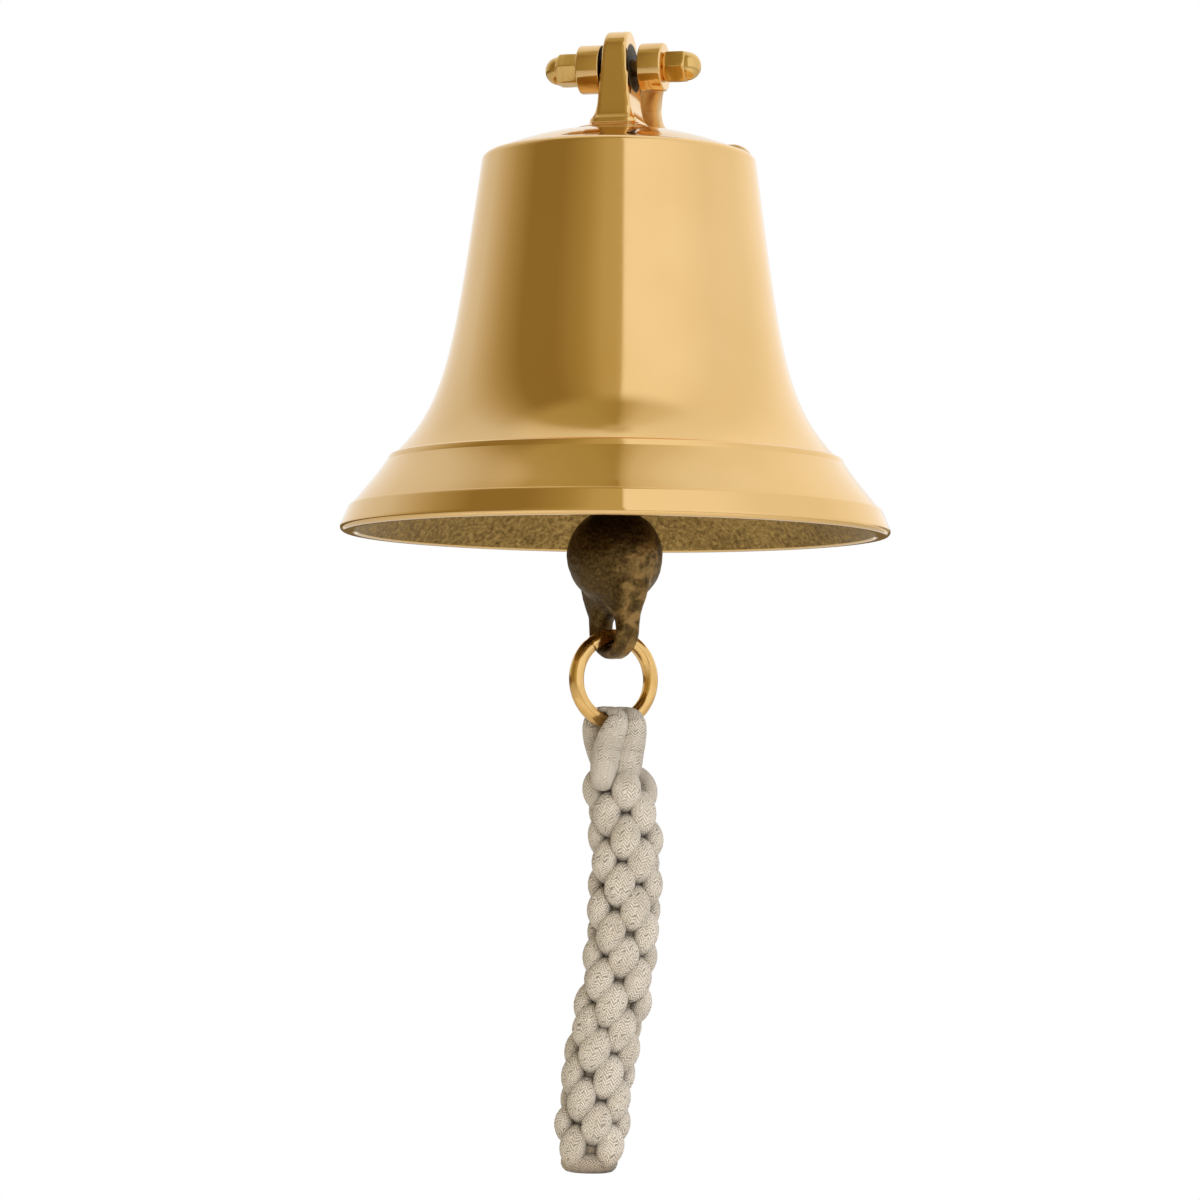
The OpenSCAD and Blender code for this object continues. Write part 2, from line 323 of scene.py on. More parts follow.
def add_camera():
    data = bpy.data.cameras.new("camera")
    data.lens = CAMERA_LENS
    data.sensor_width = CAMERA_SENSOR
    data.clip_end = 50
    cam = bpy.data.objects.new("camera", data)
    scene.collection.objects.link(cam)
    a = CAMERA_AZIMUTH
    cam.location = (math.sin(a) * CAMERA_DISTANCE, AXIS_Y - math.cos(a) * CAMERA_DISTANCE,
                    MOUTH_Z - CAMERA_BELOW_MOUTH)
    yaw = Matrix.Rotation(a + CAMERA_PAN, 4, "Z")
    tilt = Matrix.Rotation(math.pi / 2 + CAMERA_TILT, 4, "X")
    roll = Matrix.Rotation(CAMERA_ROLL, 4, "Z")
    cam.rotation_euler = (yaw @ tilt @ roll).to_euler()
    scene.camera = cam


add_camera()


# ---------------------------------------------------------------- materials
class Nodes:
    """Short calls for building a node tree."""

    def __init__(self, tree):
        self.tree = tree

    def add(self, kind, **values):
        node = self.tree.nodes.new(kind)
        for key, value in values.items():
            if key.startswith("_"):
                setattr(node, key[1:], value)
        for key, value in values.items():
            if not key.startswith("_"):
                self.put(node.inputs[key], value)
        return node

    def put(self, socket, value):
        if isinstance(value, bpy.types.NodeSocket):
            self.tree.links.new(value, socket)
        else:
            socket.default_value = value

    def math(self, op, a, b=None, clamp=False):
        node = self.tree.nodes.new("ShaderNodeMath")
        node.operation = op
        node.use_clamp = clamp
        for i, v in enumerate((a, b)):
            if v is not None:
                self.put(node.inputs[i], v)
        return node.outputs[0]

    def mix(self, factor, a, b, blend="MIX"):
        node = self.tree.nodes.new("ShaderNodeMix")
        node.data_type = "RGBA"
        node.blend_type = blend
        self.put(node.inputs[0], factor)
        self.put(node.inputs[6], a)
        self.put(node.inputs[7], b)
        return node.outputs[2]

    def ramp(self, factor, stops):
        node = self.tree.nodes.new("ShaderNodeValToRGB")
        while len(node.color_ramp.elements) < len(stops):
            node.color_ramp.elements.new(0.5)
        for e, (pos, col) in zip(node.color_ramp.elements, stops):
            e.position = pos
            e.color = (*col, 1) if isinstance(col, tuple) else (col, col, col, 1)
        self.put(node.inputs[0], factor)
        return node.outputs[0]

    def smooth(self, value, low, high, out_low=0.0, out_high=1.0):
        node = self.tree.nodes.new("ShaderNodeMapRange")
        node.interpolation_type = "SMOOTHSTEP"
        for i, v in enumerate((value, low, high, out_low, out_high)):
            self.put(node.inputs[i], v)
        return node.outputs[0]

    def noise(self, vector, scale, detail=3.0, rough=0.5, distort=0.0):
        return self.add("ShaderNodeTexNoise", Vector=vector, Scale=scale, Detail=detail,
                        Roughness=rough, Distortion=distort).outputs[0]

    def place(self, scale=(1, 1, 1)):
        """Object coordinates in metres, about the bell's axis at its mouth."""
        tex = self.add("ShaderNodeTexCoord").outputs["Object"]
        moved = self.add("ShaderNodeVectorMath", _operation="ADD")
        self.put(moved.inputs[0], tex)
        self.put(moved.inputs[1], (0, -AXIS_Y, -MOUTH_Z))
        scaled = self.add("ShaderNodeVectorMath", _operation="MULTIPLY")
        self.put(scaled.inputs[0], moved.outputs[0])
        self.put(scaled.inputs[1], scale)
        return scaled.outputs[0]

    def bump(self, height_value, distance, strength):
        node = self.add("ShaderNodeBump", Strength=strength, Distance=distance, Height=height_value)
        return node.outputs[0]

    def split(self, vector):
        """The x, y and z of a vector."""
        return self.add("ShaderNodeSeparateXYZ", Vector=vector).outputs

    def plus(self, a, b):
        return self.math("ADD", a, b)

    def minus(self, a, b):
        return self.math("SUBTRACT", a, b)

    def times(self, a, b, clamp=False):
        return self.math("MULTIPLY", a, b, clamp)


def nodes_of(mat):
    """A material's node tree and its shader."""
    tree = mat.node_tree
    return Nodes(tree), next(n for n in tree.nodes if n.type == "BSDF_PRINCIPLED")


def material(name):
    mat = bpy.data.materials.new(name)
    mat.use_nodes = True
    return mat, *nodes_of(mat)


BRASS = (0.87, 0.585, 0.265)


def lug_eye_shadow(n):
    """Mask of the two discs on the lug's sides, between the fork's eyes: a duller, unbuffed face where the
    eyes' shadow is painted.
    """
    place = n.split(n.place())
    normal = n.add("ShaderNodeNewGeometry").outputs["True Normal"]
    facing = n.math("ABSOLUTE", n.split(normal)[0])
    up = n.minus(place[2], BOLT_Z * MM)
    off = n.math("SQRT", n.plus(n.times(up, up), n.times(place[1], place[1])))
    return n.times(n.smooth(facing, 0.9, 0.98), n.smooth(off, 0.0096, 0.0086))


def polished_brass():
    """Machine-buffed brass: fine marks round the bell, soft cloudy patches, a mirror under them."""
    mat, n, shader = material("polished_brass")
    around = n.place((6, 6, 900))
    fine = n.noise(around, 1.0, 4, 0.6)
    coarse = n.noise(n.place((3, 3, 260)), 1.0, 3, 0.55)
    cloud = n.noise(n.place(), 14.0, 3, 0.5)
    marks = n.plus(n.times(fine, 0.5), n.times(coarse, 0.5))
    rough = n.smooth(n.plus(n.times(marks, 0.6), n.times(cloud, 0.4)),
                     0.3, 0.7, 0.07, 0.12)
    bevel = n.smooth(n.split(n.place())[2], 0.0135, 0.0105)
    tone = n.mix(n.smooth(cloud, 0.35, 0.7), (*BRASS, 1), (0.83, 0.545, 0.225, 1))
    # painted shadow: the fork eyes' shade on the lug's sides, near black with speckles, on a duller, less
    # metallic face
    eye_shadow = lug_eye_shadow(n)
    shadow_speckle = n.smooth(n.noise(n.place(), 700.0, 3, 0.6), 0.45, 0.7)
    shadow_speckle = n.mix(shadow_speckle, (0.045, 0.03, 0.014, 1), (0.13, 0.09, 0.04, 1))
    n.put(shader.inputs["Base Color"], n.mix(eye_shadow, tone, shadow_speckle))
    n.put(shader.inputs["Metallic"], n.smooth(eye_shadow, 0, 1, 1.0, 0.4))
    rough = n.times(rough, n.smooth(bevel, 0, 1, 1.0, 0.06))
    n.put(shader.inputs["Roughness"], n.plus(rough, n.times(eye_shadow, 0.45)))
    relief = n.times(marks, n.smooth(bevel, 0, 1, 1.0, 0.05))
    n.put(shader.inputs["Normal"], n.bump(relief, 0.00002, 0.35))
    return mat


def cast_inside():
    """The bell's inside: rough sand-cast brass, dull gold with darker grains."""
    mat, n, shader = material("cast_inside")
    shader.inputs["Metallic"].default_value = 1.0
    grains = n.noise(n.place(), 620.0, 4, 0.65)
    lumps = n.noise(n.place(), 170.0, 3, 0.55)
    patch = n.noise(n.place(), 40.0, 3, 0.5)
    tone = n.ramp(n.plus(n.times(grains, 0.8), n.times(patch, 0.2)),
                  [(0.34, (0.11, 0.065, 0.02)), (0.5, (0.30, 0.19, 0.06)), (0.68, (0.58, 0.39, 0.14))])
    n.put(shader.inputs["Base Color"], tone)
    n.put(shader.inputs["Roughness"], n.smooth(grains, 0.35, 0.65, 0.34, 0.52))
    rough_height = n.plus(n.times(grains, 0.55), n.times(lumps, 0.9))
    n.put(shader.inputs["Normal"], n.bump(rough_height, 0.0007, 0.8))
    return mat


def fitting_brass(name, tone, rough_low, rough_high, scratch_scale, warm=0.3):
    """Polished brass for the small fittings, with fine scratches and a little tarnish."""
    mat, n, shader = material(name)
    shader.inputs["Metallic"].default_value = 1.0
    scratches = n.noise(n.place(scratch_scale), 1.0, 5, 0.6)
    cloud = n.noise(n.place(), 90.0, 3, 0.5)
    n.put(shader.inputs["Roughness"], n.smooth(scratches, 0.35, 0.65, rough_low, rough_high))
    dark = tuple(c * f for c, f in zip(tone, (0.82, 0.72, 0.55)))
    n.put(shader.inputs["Base Color"],
          n.mix(n.times(n.smooth(cloud, 0.42, 0.68), warm), (*tone, 1), (*dark, 1)))
    height_value = n.plus(n.times(scratches, 0.4), n.times(cloud, 0.6))
    n.put(shader.inputs["Normal"], n.bump(height_value, 0.00006, 0.6))
    return mat


def fork_brass():
    """The fork's brass: buffed, but rough on the eyes' inner faces, where no wheel reaches, and near black
    there as painted shade of the narrow gap by the lug.
    """
    mat = fitting_brass("bracket_brass", (0.86, 0.58, 0.26), 0.08, 0.2, (60, 60, 400))
    n, shader = nodes_of(mat)
    place = n.split(n.place())
    aside = n.math("ABSOLUTE", n.minus(place[0], FORK_X * MM))
    # painted shade: the eyes' inner faces, deep in the gap by the lug, get a near-black colour
    inner = n.times(n.smooth(aside, (EYE_IN + 0.5) * MM, (EYE_IN + 0.1) * MM),
                   n.smooth(place[1], 0.019, 0.014))
    for name, value in (("Base Color", (0.05, 0.03, 0.012, 1)), ("Roughness", (0.5, 0.5, 0.5, 1))):
        before = shader.inputs[name].links[0].from_socket
        n.put(shader.inputs[name], n.mix(inner, before, value))
    return mat


def rough_cast():
    """As-cast brass gone brown, with bright rubbed patches, and painted light that spreads them over the +X
    side and lower down.
    """
    mat, n, shader = material("rough_cast")
    shader.inputs["Metallic"].default_value = 1.0
    grains = n.noise(n.place(), 900.0, 4, 0.6)
    blotch = n.noise(n.place(), 150.0, 4, 0.62, 0.4)
    pits = n.add("ShaderNodeTexVoronoi", Vector=n.place(), Scale=520.0, Randomness=1.0).outputs[0]
    # painted light: the ramp below makes the +X side and the lower part lighter
    worn = n.split(n.place())
    side = n.smooth(n.plus(worn[0], n.times(worn[2], -0.35)), -0.004, 0.028)
    rubbed_and_lit = n.times(n.smooth(n.plus(blotch, n.times(side, 0.26)), 0.60, 0.86), 0.6,
                    clamp=True)
    brown = n.ramp(grains, [(0.3, (0.05, 0.03, 0.010)), (0.55, (0.115, 0.07, 0.024)),
                            (0.75, (0.18, 0.112, 0.042))])
    n.put(shader.inputs["Base Color"], n.mix(rubbed_and_lit, brown, (0.50, 0.31, 0.11, 1)))
    n.put(shader.inputs["Roughness"], n.smooth(rubbed_and_lit, 0.0, 1.0, 0.46, 0.34))
    height_value = n.plus(n.times(grains, 0.5),
                          n.plus(n.times(blotch, 0.7), n.times(pits, 0.5)))
    n.put(shader.inputs["Normal"], n.bump(height_value, 0.0005, 0.8))
    return mat


def forged_steel():
    mat, n, shader = material("forged_steel")
    shader.inputs["Metallic"].default_value = 1.0
    grains = n.noise(n.place(), 500.0, 4, 0.6)
    tone = n.ramp(grains, [(0.35, (0.10, 0.07, 0.045)), (0.65, (0.30, 0.24, 0.17))])
    n.put(shader.inputs["Base Color"], tone)
    n.put(shader.inputs["Roughness"], n.smooth(grains, 0.3, 0.7, 0.4, 0.62))
    n.put(shader.inputs["Normal"], n.bump(grains, 0.0005, 0.7))
    return mat


def braided_cotton():
    """Natural cotton cord: a herringbone of yarns from the cord's own u (mm along) and v (round it)."""
    mat, n, shader = material("braided_cotton")
    shader.inputs["Roughness"].default_value = 0.92
    shader.inputs["Sheen Weight"].default_value = 0.25
    shader.inputs["Sheen Roughness"].default_value = 0.5
    uv = n.split(n.add("ShaderNodeUVMap", _uv_map="cord").outputs[0])
    wobble = n.times(n.minus(n.noise(n.place(), 260.0, 2, 0.5), 0.5), 2.2)
    columns = 11.0
    lane = n.plus(n.times(uv[1], columns), n.times(wobble, 0.3))
    within = n.minus(n.math("FRACT", lane), 0.5)
    arm = n.math("ABSOLUTE", within)
    phase = n.plus(n.math("DIVIDE", n.plus(uv[0], wobble), 0.85), n.times(arm, 2.2))
    yarn = n.math("ABSOLUTE", n.math("SINE", n.times(phase, math.pi)))
    yarn = n.math("POWER", yarn, 0.7)
    spine = n.smooth(arm, 0.0, 0.1, 0.6, 1.0)
    edge = n.smooth(arm, 0.5, 0.4, 0.55, 1.0)
    relief = n.times(yarn, n.times(spine, edge))
    fibre = n.noise(n.place(), 2600.0, 3, 0.7)
    patch = n.noise(n.place(), 110.0, 3, 0.55)
    light = n.mix(n.smooth(patch, 0.35, 0.68), (0.78, 0.70, 0.60, 1), (0.66, 0.58, 0.48, 1))
    dark = (0.44, 0.375, 0.295, 1)
    shade = n.plus(n.times(relief, 0.7), n.times(n.minus(fibre, 0.5), 0.9))
    yarns = n.mix(n.smooth(shade, -0.1, 0.58), dark, light)
    depth = n.add("ShaderNodeAttribute", _attribute_name="depth").outputs["Fac"]
    # painted shade, partly grime: the yarns darken where the surface lies deep, near the sennit's centre
    # line
    crease = n.smooth(depth, 12.2, 7.2)
    crease_shade_and_grime = n.mix(crease, (1, 1, 1, 1), (0.15, 0.115, 0.08, 1))
    foot = n.smooth(n.split(n.place())[2], -0.224, -0.236)
    yarns = n.mix(1.0, yarns, crease_shade_and_grime, "MULTIPLY")
    soiled = n.mix(1.0, yarns, (0.72, 0.62, 0.50, 1), "MULTIPLY")
    n.put(shader.inputs["Base Color"], n.mix(foot, yarns, soiled))
    relief_height = n.plus(relief, n.times(fibre, 0.22))
    n.put(shader.inputs["Normal"], n.bump(relief_height, 0.0005, 1.0))
    return mat


def core_shade_material():
    mat, n, shader = material("cord_core_shade")
    # painted shade: a dark fill that shows between the strands
    shader.inputs["Roughness"].default_value = 0.95
    fibre = n.noise(n.place(), 1500.0, 4, 0.7)
    n.put(shader.inputs["Base Color"], n.ramp(fibre, [(0.3, (0.16, 0.12, 0.08)), (0.7, (0.40, 0.33, 0.25))]))
    n.put(shader.inputs["Normal"], n.bump(fibre, 0.0006, 0.8))
    return mat


MAT_BELL = polished_brass()
MAT_INSIDE = cast_inside()
MAT_FORK = fork_brass()
MAT_ARM = fitting_brass("arm_brass", (0.88, 0.63, 0.34), 0.34, 0.46, (300, 300, 300))
MAT_NUT = fitting_brass("nut_brass", (0.76, 0.50, 0.18), 0.10, 0.24, (500, 60, 60))
MAT_STUD = fitting_brass("stud_brass", (0.17, 0.105, 0.045), 0.3, 0.45, (900, 40, 40))
MAT_RING = fitting_brass("ring_brass", (0.85, 0.56, 0.22), 0.09, 0.24, (160, 160, 160), 0.6)
MAT_CLAPPER = rough_cast()
MAT_STAPLE = forged_steel()
MAT_CORD = braided_cotton()
MAT_SHADE_CORE = core_shade_material()


def finish_piece(obj, mat, body, nodes):
    """Gives a piece its material and its body, and hides the CAD nodes it stands for."""
    if mat is not None:
        obj.data.materials.clear()
        obj.data.materials.append(mat)
    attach(obj, body)
    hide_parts(*nodes)
    return obj


# ---------------------------------------------------------------- lanyard: a four-strand crown sennit
ROUTE = [(0.5, -79), (2, -90), (5.5, -115), (5, -140), (2.5, -165), (-3, -190), (-6.5, -215), (-6.5, -235)]
ROPE_END = -235.0
STRANDS = 4
STRAND_SEED = 40
FOOT_ROOM = 4
ROUND_H = 8.7
ROUND_TURN = 38.0
LEAN = 13.0
CORD_HALF_W = 5.5
CORD_HALF_T = 4.3
CORD_THIN = 2.6
LOBE_H = 4.6
LOBE_R = 5.0
LOBE_A = 4.8
FIRST_ROUND = -92.0
FIRST_TURN = 20.0
CORD_SIDES = 18
CORE_R = 7.8
NECK_HIGH, NECK_LOW, NECK_DEPTH = -80.0, -94, 13.0
ring_dir = np.array([math.cos(RING_TURN), math.sin(RING_TURN), 0.0])
ring_out = np.array([math.sin(RING_TURN), -math.cos(RING_TURN), 0.0])
UP = np.array([0.0, 0.0, 1.0])


def rope_x(z):
    """Sideways offset of the lanyard's centre at a height, smoothly through the route's points."""
    zs = np.array([q[1] for q in ROUTE][::-1], float)
    xs = np.array([q[0] for q in ROUTE][::-1], float)
    reach, softness = 8, 5.0
    kernel = np.linspace(-reach, reach, 9)
    weight = np.exp(-(kernel / softness) ** 2)
    spread = sum(w * np.interp(np.asarray(z, float) + k, zs, xs) for w, k in zip(weight, kernel))
    return spread / weight.sum()


def strand_line(s, rounds, step=26):
    """One strand's path: down the outside as a lobe, in, up the inside and round to the next lobe."""
    u = np.linspace(-0.25, rounds - 0.45, int((rounds - 0.2) * step))
    a = 2 * np.pi * (u - np.floor(u))
    rng = np.random.default_rng(STRAND_SEED + s)
    uneven = [np.interp(u, np.arange(-1, rounds + 1), rng.normal(0, 1, rounds + 2)) for _ in range(4)]
    theta = np.radians(360 / STRANDS * s + FIRST_TURN + ROUND_TURN * u + LEAN * np.cos(a) + 2.0 * uneven[0])
    z = FIRST_ROUND - ROUND_H * u + (LOBE_H + 0.3 * uneven[3]) * np.cos(a) + 0.4 * uneven[1]
    bulge = np.clip(np.sin(a), 0, 1)
    tuck = np.clip(-np.sin(a), 0, 1)
    rho = LOBE_R + (LOBE_A + 0.3 * uneven[2]) * bulge - 2.4 * tuck
    p = np.stack([rho * np.cos(theta) + rope_x(z), rho * np.sin(theta), z], 1)
    across = np.stack([-np.sin(theta), np.cos(theta), 0 * theta], 1)
    half_w = CORD_THIN + (CORD_HALF_W - CORD_THIN + 0.2 * uneven[1]) * bulge
    half_t = CORD_THIN + (CORD_HALF_T - CORD_THIN) * bulge
    return p, across, half_w, half_t


def loop_line(k):
    """One of the two cords over the ring: flat on the wire, with two plump legs tucked into the sennit."""
    hand = 2 * k - 1
    spread, clear, on_wire = 4.2, 1.2, 0.24
    wire_z = RING_FOOT + RING_R - math.sqrt(RING_R ** 2 - spread ** 2)
    share = np.linspace(-1, 1, 121)
    side = np.sign(share)
    leg = np.clip((np.abs(share) - on_wire) / (1 - on_wire), 0, 1)
    turn = np.clip(np.abs(share) / on_wire, 0, 1) * math.pi / 2
    out = (ROD_R + clear + 2.6 * np.sin(turn)) * np.sin(turn)
    up = (ROD_R + clear) * np.cos(turn)
    drop = (24.5 + 1.5 * hand) * leg
    swell = np.sin(np.pi * np.clip(leg * 0.97, 0, 1)) ** 0.55
    below = np.clip((leg - 0.08) / 0.35, 0, 1)
    out = out - 1.5 * below + 1.2 * swell
    along = hand * (3.3 + 1.3 * swell) - side * (7.5 * leg - 1.3)
    p = ring_out * (side * out)[:, None] + ring_dir * along[:, None] + UP * (wire_z + up - drop)[:, None]
    p[:, 0] += rope_x(p[:, 2])
    flat = np.cos(turn)
    half_w = 3.5 + 2.1 * swell
    half_t = 3.6 + 1.2 * swell - 2.4 * flat
    return p, ring_dir, half_w, half_t


def smooth_line(line, times):
    """A finer line through smoothed points, times as many as before."""
    t = np.linspace(0, 1, len(line))
    fine = np.linspace(0, 1, times * len(line))
    out = np.stack([np.interp(fine, t, line[:, i]) for i in range(3)], 1)
    for _ in range(2 * times):
        out[1:-1] = 0.25 * out[:-2] + 0.5 * out[1:-1] + 0.25 * out[2:]
    return out


def end_swirl():
    """The tucked ends, curled flat on the foot of the sennit."""
    t = np.linspace(0, 1, 60)
    ang = np.radians(200 + 560 * t)
    rad = 7.8 - 6.0 * t
    line = np.stack([rad * np.cos(ang), rad * np.sin(ang), ROPE_END + 4.7 - 0.5 * t], 1)
    line[:, 0] += rope_x(ROPE_END + 4)
    return line


def surface_depth(v):
    """Distance in mm of a point of the sennit from its centre line: small down in the creases."""
    aside = math.hypot(v[0] - float(rope_x(v[2])), v[1])
    if v[2] <= NECK_LOW:
        return aside
    return max(aside, NECK_DEPTH - 0.25 * max(NECK_HIGH - v[2], 0.0))


def cord_piece(name, line, across, half_w, half_t, sides, start):
    """One swept cord, with its yarn's UVs and its depth in the sennit."""
    verts, faces, along, sides = sweep(line, across, half_w, half_t, sides)
    obj = make(name, verts, faces)
    set_cord_uv(obj, along, sides, start=start)
    depth = obj.data.attributes.new("depth", "FLOAT", "POINT")
    depth.data.foreach_set("value", [float(surface_depth(v)) for v in verts])
    return obj


def rope_core():
    """A dark core, painted shade that shows between the strands."""
    z = np.linspace(NECK_HIGH, ROPE_END + 8, 40)
    verts, faces, along, sides = sweep(np.stack([rope_x(z), 0 * z, z], 1), (1, 0, 0), CORE_R, CORE_R, 24)
    core = make("core", verts, faces)
    set_cord_uv(core, along, sides)
    core.data.materials.append(MAT_SHADE_CORE)
    return core


def build_lanyard():
    """The whole rope as one piece."""
    rounds = int((FIRST_ROUND - ROPE_END - LOBE_H - FOOT_ROOM) / ROUND_H) + 1
    parts = [cord_piece(f"strand_{s}", *strand_line(s, rounds), CORD_SIDES, 3.1 * s) for s in range(STRANDS)]
    parts += [cord_piece(f"loop_{k}", *loop_line(k), CORD_SIDES, 1.7 * k) for k in range(2)]
    parts.append(cord_piece("swirl", end_swirl(), UP, 3.9, 3.7, 14, 0.0))
    for o in parts:
        o.data.materials.append(MAT_CORD)
    rope = join("lanyard_rope", parts + [rope_core()])
    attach(rope, "lanyard")
    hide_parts("lanyard_eye", "lanyard_braid")


build_lanyard()


# ---------------------------------------------------------------- bell with its lug
def shares(points):
    """(radius, height) points in mm from shares of the mouth's radius and the bell's height."""
    return [(r * MOUTH_R, z * BELL_H) for r, z in points]


CROWN_SHARE = 0.502
WAIST = shares([(CROWN_SHARE, 0.979), (0.5925, 0.511), (0.610, 0.340), (0.807, 0.203)])
SKIRT = shares([(0.836, 0.184), (0.870, 0.146), (0.925, 0.101), (0.958, 0.071)])
LINING = shares([(0.463, 0.928), (0.561, 0.496), (0.577, 0.312), (0.787, 0.162)])
SHOULDER_R = 3.0
LIP_ROUND = 1.7
LIP_FLAT, LIP_INSIDE = 3.0, 4.2
STEP = [(82.9, 28.45), (83.5, 28.25), (83.9, 27.95), (84.12, 27.5), (84.3, 26.6), (84.38, 26.1),
        (84.36, 25.85), (84.55, 25.72), (84.8, 25.85)]
STEP_FOOT = [(0.35, -0.05), (0.75, -0.2), (1.05, -0.5), (1.3, -1.0)]
BELL_SEGMENTS = 288
SHELL_LUMPS = ((95.0, 0.00026), (210.0, 0.00016))


def pairs(curve):
    return list(map(tuple, curve))


def bell_profile():
    """(radius, height) points down the outside and round the lip, and then up the inside."""
    flat = CROWN_SHARE * MOUTH_R - SHOULDER_R
    dome = (flat ** 2 + CROWN_RISE ** 2) / (2 * CROWN_RISE)
    outer = [(r, CROWN_TOP - dome + math.sqrt(dome ** 2 - r ** 2)) for r in np.linspace(0, flat, 24)]
    outer += pairs(arc(flat, BELL_H - SHOULDER_R, SHOULDER_R, 75, 10, 8)) + pairs(bezier(WAIST, 60))
    # the upper step: a rounded edge, a short upright face and a fine groove at its foot
    outer += STEP + pairs(bezier(SKIRT, 26))
    outer += [(SKIRT[3][0] + out, SKIRT[3][1] + up) for out, up in STEP_FOOT]
    lip_arc = pairs(arc(MOUTH_R - LIP_ROUND, LIP_ROUND, LIP_ROUND, 23, -90, 10))
    top, low = outer[-1], lip_arc[0]
    outer += [(top[0] + (low[0] - top[0]) * f, top[1] + (low[1] - top[1]) * f) for f in (0.05, 0.5, 0.95)]
    outer += lip_arc + [(MOUTH_R - LIP_FLAT, 0.0)]
    inner = pairs(arc(MOUTH_R - LIP_INSIDE, LIP_ROUND, LIP_ROUND, -90, -150, 5))
    inner += pairs(bezier(LINING, 70)[::-1])
    end = LINING[0][0] - CEILING_R
    inner += pairs(arc(end, CEILING - CEILING_R, CEILING_R, 8, 90, 10))
    inner += [(r, CEILING) for r in np.linspace(end, 0, 14)[1:]]
    return refine(outer), refine(inner)


def refine(points, longest=2.4):
    """The same outline with no step longer than a few millimetres."""
    out = [points[0]]
    for a, b in zip(points, points[1:]):
        gap = math.dist(a, b)
        if gap < 1e-5:
            continue
        parts = max(1, math.ceil(gap / longest))
        for k in range(1, parts + 1):
            out.append((a[0] + (b[0] - a[0]) * k / parts, a[1] + (b[1] - a[1]) * k / parts))
    return out


LUG_BASE, LUG_TOP = 6.3, 4.0
LUG_DEPTH = 9.4
LUG_RISE = 13.7
# the lug's root: how far it spreads at a height over the crown's top
ROOT = [(0, 9), (0.25, 7.4), (0.6, 5.8), (1.1, 4.4), (1.7, 3.4), (2.35, 2.75), (2.6, 2.3), (2.7, 1.2),
        (3.5, 0.4), (6, -0.5), (9, -1.2)]
LUG_EDGE = 1.3


def lug_section(z):
    """Half width, half depth and corner radius of the lug at a height: a slab that swells into the crown."""
    top = BOLT_Z + LUG_RISE
    foot = CROWN_TOP + ROOT[0][1]
    if z >= foot:
        half_x = LUG_BASE + (LUG_TOP - LUG_BASE) * (z - foot) / (top - foot)
        above = max(0.0, z - (top - LUG_DEPTH))
        half_y = math.sqrt(max(LUG_DEPTH ** 2 - above ** 2, 0.02))
        return half_x, half_y, min(LUG_EDGE, 0.9 * half_y)
    spread = np.mean([np.interp(-(z + dz - CROWN_TOP), [-q[1] for q in ROOT], [q[0] for q in ROOT])
                      for dz in (-0.4, 0, 0.4)])
    half_x = LUG_BASE + spread
    return half_x, LUG_DEPTH + spread, min(LUG_EDGE + spread * 0.9, half_x)


def lug_mesh():
    """The lug as rings of rounded rectangles, from inside the crown up to its round top."""
    foot = CROWN_TOP + ROOT[0][1]
    round_z = BOLT_Z + LUG_RISE - LUG_DEPTH
    zs = np.concatenate([np.linspace(CROWN_TOP - 2.2, foot - 0.2, 44), np.linspace(foot, round_z, 14),
                         round_z + LUG_DEPTH * np.sin(np.radians(np.linspace(4, 89.4, 26)))])
    rows, sides = [], 96
    ang = 2 * np.pi * (np.arange(sides) + 0.5) / sides
    for z in zs:
        half_x, half_y, edge = lug_section(float(z))
        cx, cy = half_x - edge, half_y - edge
        ring = []
        for t in ang:
            c, s = math.cos(t), math.sin(t)
            k = min(half_x / max(abs(c), 1e-9), half_y / max(abs(s), 1e-9))
            x, y = c * k, s * k
            if abs(x) > cx and abs(y) > cy:
                dx, dy = abs(x) - cx, abs(y) - cy
                d = math.hypot(dx, dy)
                x, y = math.copysign(cx + dx / d * edge, x), math.copysign(cy + dy / d * edge, y)
            ring.append((x, y, float(z)))
        rows.append(ring)
    return stack(rows)


def build_bell():
    outer, inner = bell_profile()
    verts, faces = lathe(outer + inner, BELL_SEGMENTS)
    shell = make("bell_casting", verts, faces)
    recalc(shell)
    # sand-cast lumps on the inside only
    first_inner = 1 + (len(outer) - 1) * BELL_SEGMENTS
    mesh = shell.data
    roughen(shell, SHELL_LUMPS, first_inner)
    mesh.materials.append(MAT_BELL)
    mesh.materials.append(MAT_INSIDE)
    lip_edge = MOUTH_Z + 0.5 * MM
    for poly in mesh.polygons:
        if min(poly.vertices) >= first_inner + 2 * BELL_SEGMENTS and poly.center.z > lip_edge:
            poly.material_index = 1
    verts, faces = lug_mesh()
    lug = make("lug", verts, faces)
    recalc(lug)
    lug.data.materials.append(MAT_BELL)
    bell = join("bell_casting", [shell, lug])
    smooth_by_angle(bell, 24)
    finish_piece(bell, None, "bell", ("bell",))


build_bell()


# ---------------------------------------------------------------- fork, arm and wall plate
def turned_x(profile, segments=96):
    """A solid turned about the bolt from (radius, distance along +X) points."""
    verts, faces = lathe(profile, segments)
    return [(FORK_X + z, x, y + BOLT_Z) for x, y, z in verts], faces


def rounded_disc(r, a, b):
    """Profile of a disc from a to b along the bolt, with rounded rims."""
    edge = 0.7
    out = [(0, a), (r - edge - 2, a)]
    out += [(r - edge + edge * math.sin(t), a + edge - edge * math.cos(t))
            for t in np.linspace(0, math.pi / 2, 6)]
    out += [(r - edge + edge * math.sin(t), b - edge + edge * math.cos(t))
            for t in np.linspace(math.pi / 2, 0, 6)]
    return out + [(r - edge - 2, b), (0, b)]


